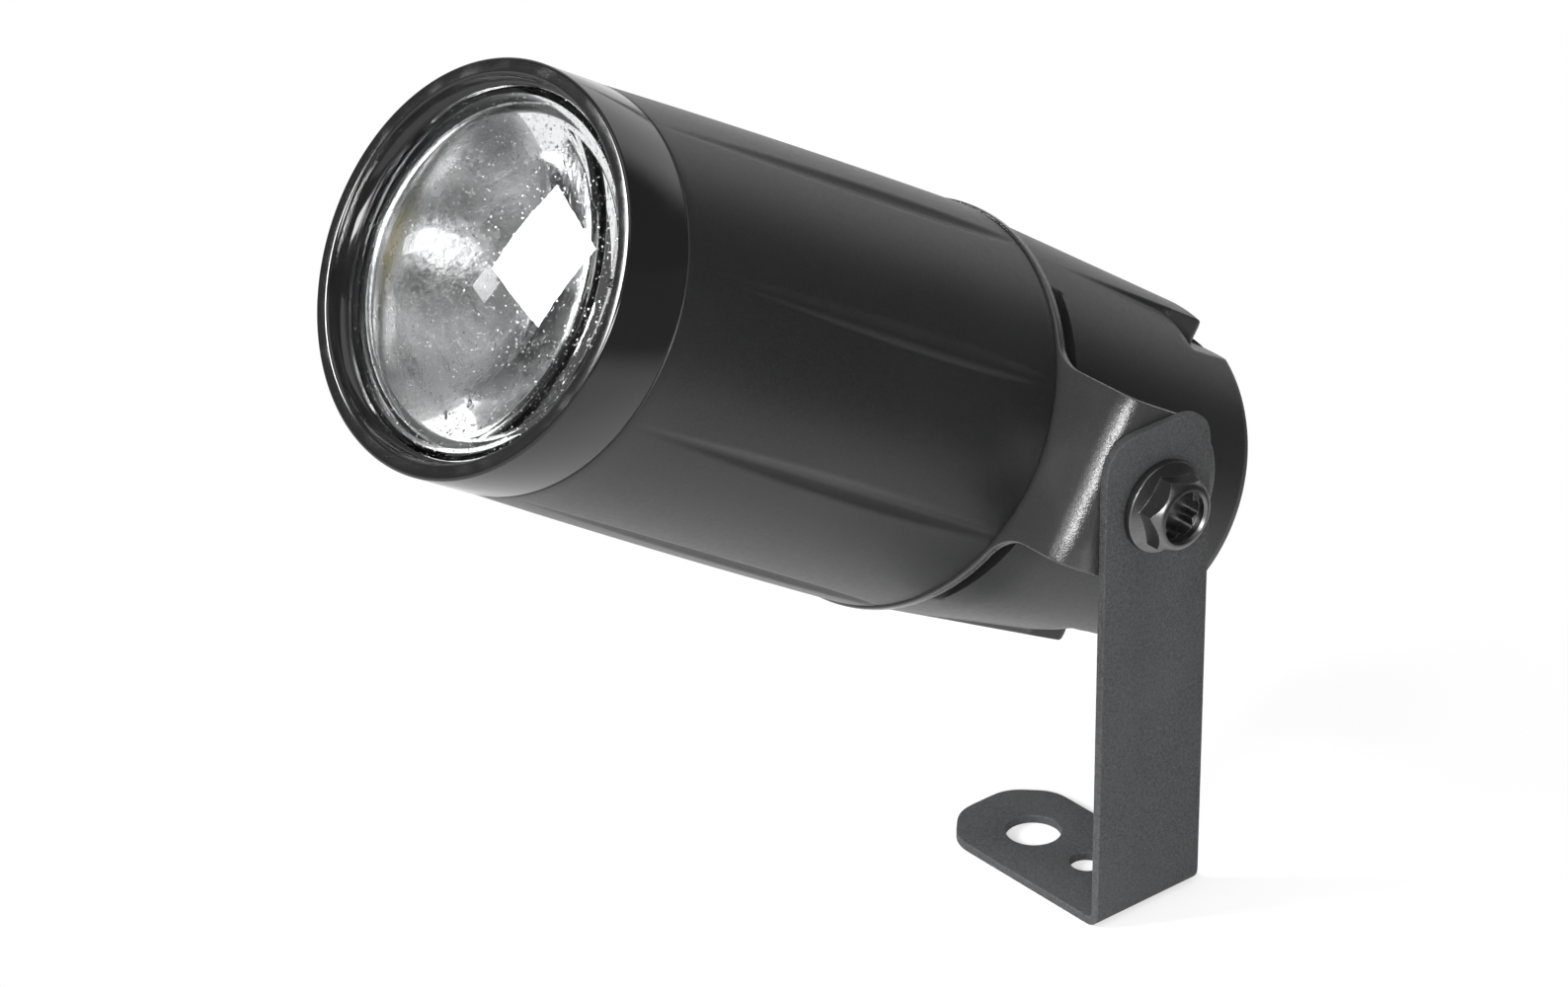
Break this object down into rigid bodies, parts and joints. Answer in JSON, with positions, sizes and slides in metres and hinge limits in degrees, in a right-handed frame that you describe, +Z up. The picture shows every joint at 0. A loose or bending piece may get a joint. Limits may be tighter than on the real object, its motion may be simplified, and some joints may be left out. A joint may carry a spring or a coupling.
{
  "type": "pinspot light",
  "caption": "Compact black spotlight with a convex front lens in a tapered cylindrical housing, held by a one-sided tilting bracket with a clamp bolt.",
  "frame": {"origin": "on the underside of the bracket's foot, on its centreline between the two fixing holes", "axes": "+Z up, away from the mounting surface; the bracket's arm stands on the +X side; the beam leaves towards -Y, tilted up 31.5 degrees at rest"},
  "size_m": [0.102, 0.1915, 0.1826],
  "materials": {
    "bracket_paint": "matte",
    "ring_paint": "gloss",
    "dark_steel": "satin",
    "bare_steel": "satin",
    "cast_body": "satin",
    "gloss_body": "gloss",
    "bare_aluminium": "satin",
    "clear_glass": "gloss",
    "reflector_coat": "polished",
    "black_rubber": "matte",
    "black_plastic": "matte",
    "white_plastic": "satin",
    "led_phosphor": "gloss",
    "pad_silicone": "matte",
    "circuit_green": "satin",
    "transformer_core": "matte",
    "capacitor_sleeve": "gloss",
    "terminal_green": "satin",
    "red_insulation": "gloss",
    "black_insulation": "gloss"
  },
  "bodies": {
    "bracket": {"mounting_bracket": "bracket_paint"},
    "bolt": {"clamp_bolt": "dark_steel"},
    "head": {"mounting_ring": "ring_paint", "clamp_nut": "dark_steel", "lock_washer": "dark_steel", "front_housing": "cast_body", "bezel_ring": "gloss_body", "front_lens": "clear_glass", "lens_gasket": "black_rubber", "baffle_ring": "black_plastic", "reflector": "reflector_coat", "led_holder": "white_plastic", "led_emitter": "led_phosphor", "led_board": "white_plastic", "thermal_pad": "pad_silicone", "heat_sink": "bare_aluminium", "heat_sink_clip": "bare_steel", "front_seal": "black_rubber", "rear_seal": "black_rubber", "rear_housing": "cast_body", "rear_cover": "cast_body", "cover_seal": "black_rubber", "board_screw_1": "bare_steel", "board_screw_2": "bare_steel", "housing_screw_1": "bare_steel", "housing_screw_2": "bare_steel", "housing_screw_3": "bare_steel", "housing_screw_4": "bare_steel", "cover_screw_1": "bare_steel", "cover_screw_2": "bare_steel", "cover_screw_3": "bare_steel", "earth_screw": "bare_steel", "gland_body": "black_plastic", "gland_seal": "black_rubber", "gland_nut": "black_plastic", "gland_locknut": "black_plastic", "board_carrier": "black_plastic", "driver_board": "circuit_green", "carrier_screw_1": "bare_steel", "carrier_screw_2": "bare_steel", "transformer": "transformer_core", "input_capacitor": "capacitor_sleeve", "output_capacitor": "capacitor_sleeve", "rectifier": "black_plastic", "terminal_block": "terminal_green", "led_lead_positive": "red_insulation", "led_lead_negative": "black_insulation"}
  },
  "joints": [
    {"name": "tilt", "type": "hinge", "parent": "bracket", "child": "head", "pos_m": [0.0224, 0, 0.0867], "axis": [-1, 0, 0], "range_deg": [-49.5, 166.5]},
    {"name": "clamp_bolt_turn", "type": "hinge", "parent": "bracket", "child": "bolt", "pos_m": [0.0234, 0, 0.0867], "axis": [1, 0, 0], "continuous": true}
  ]
}
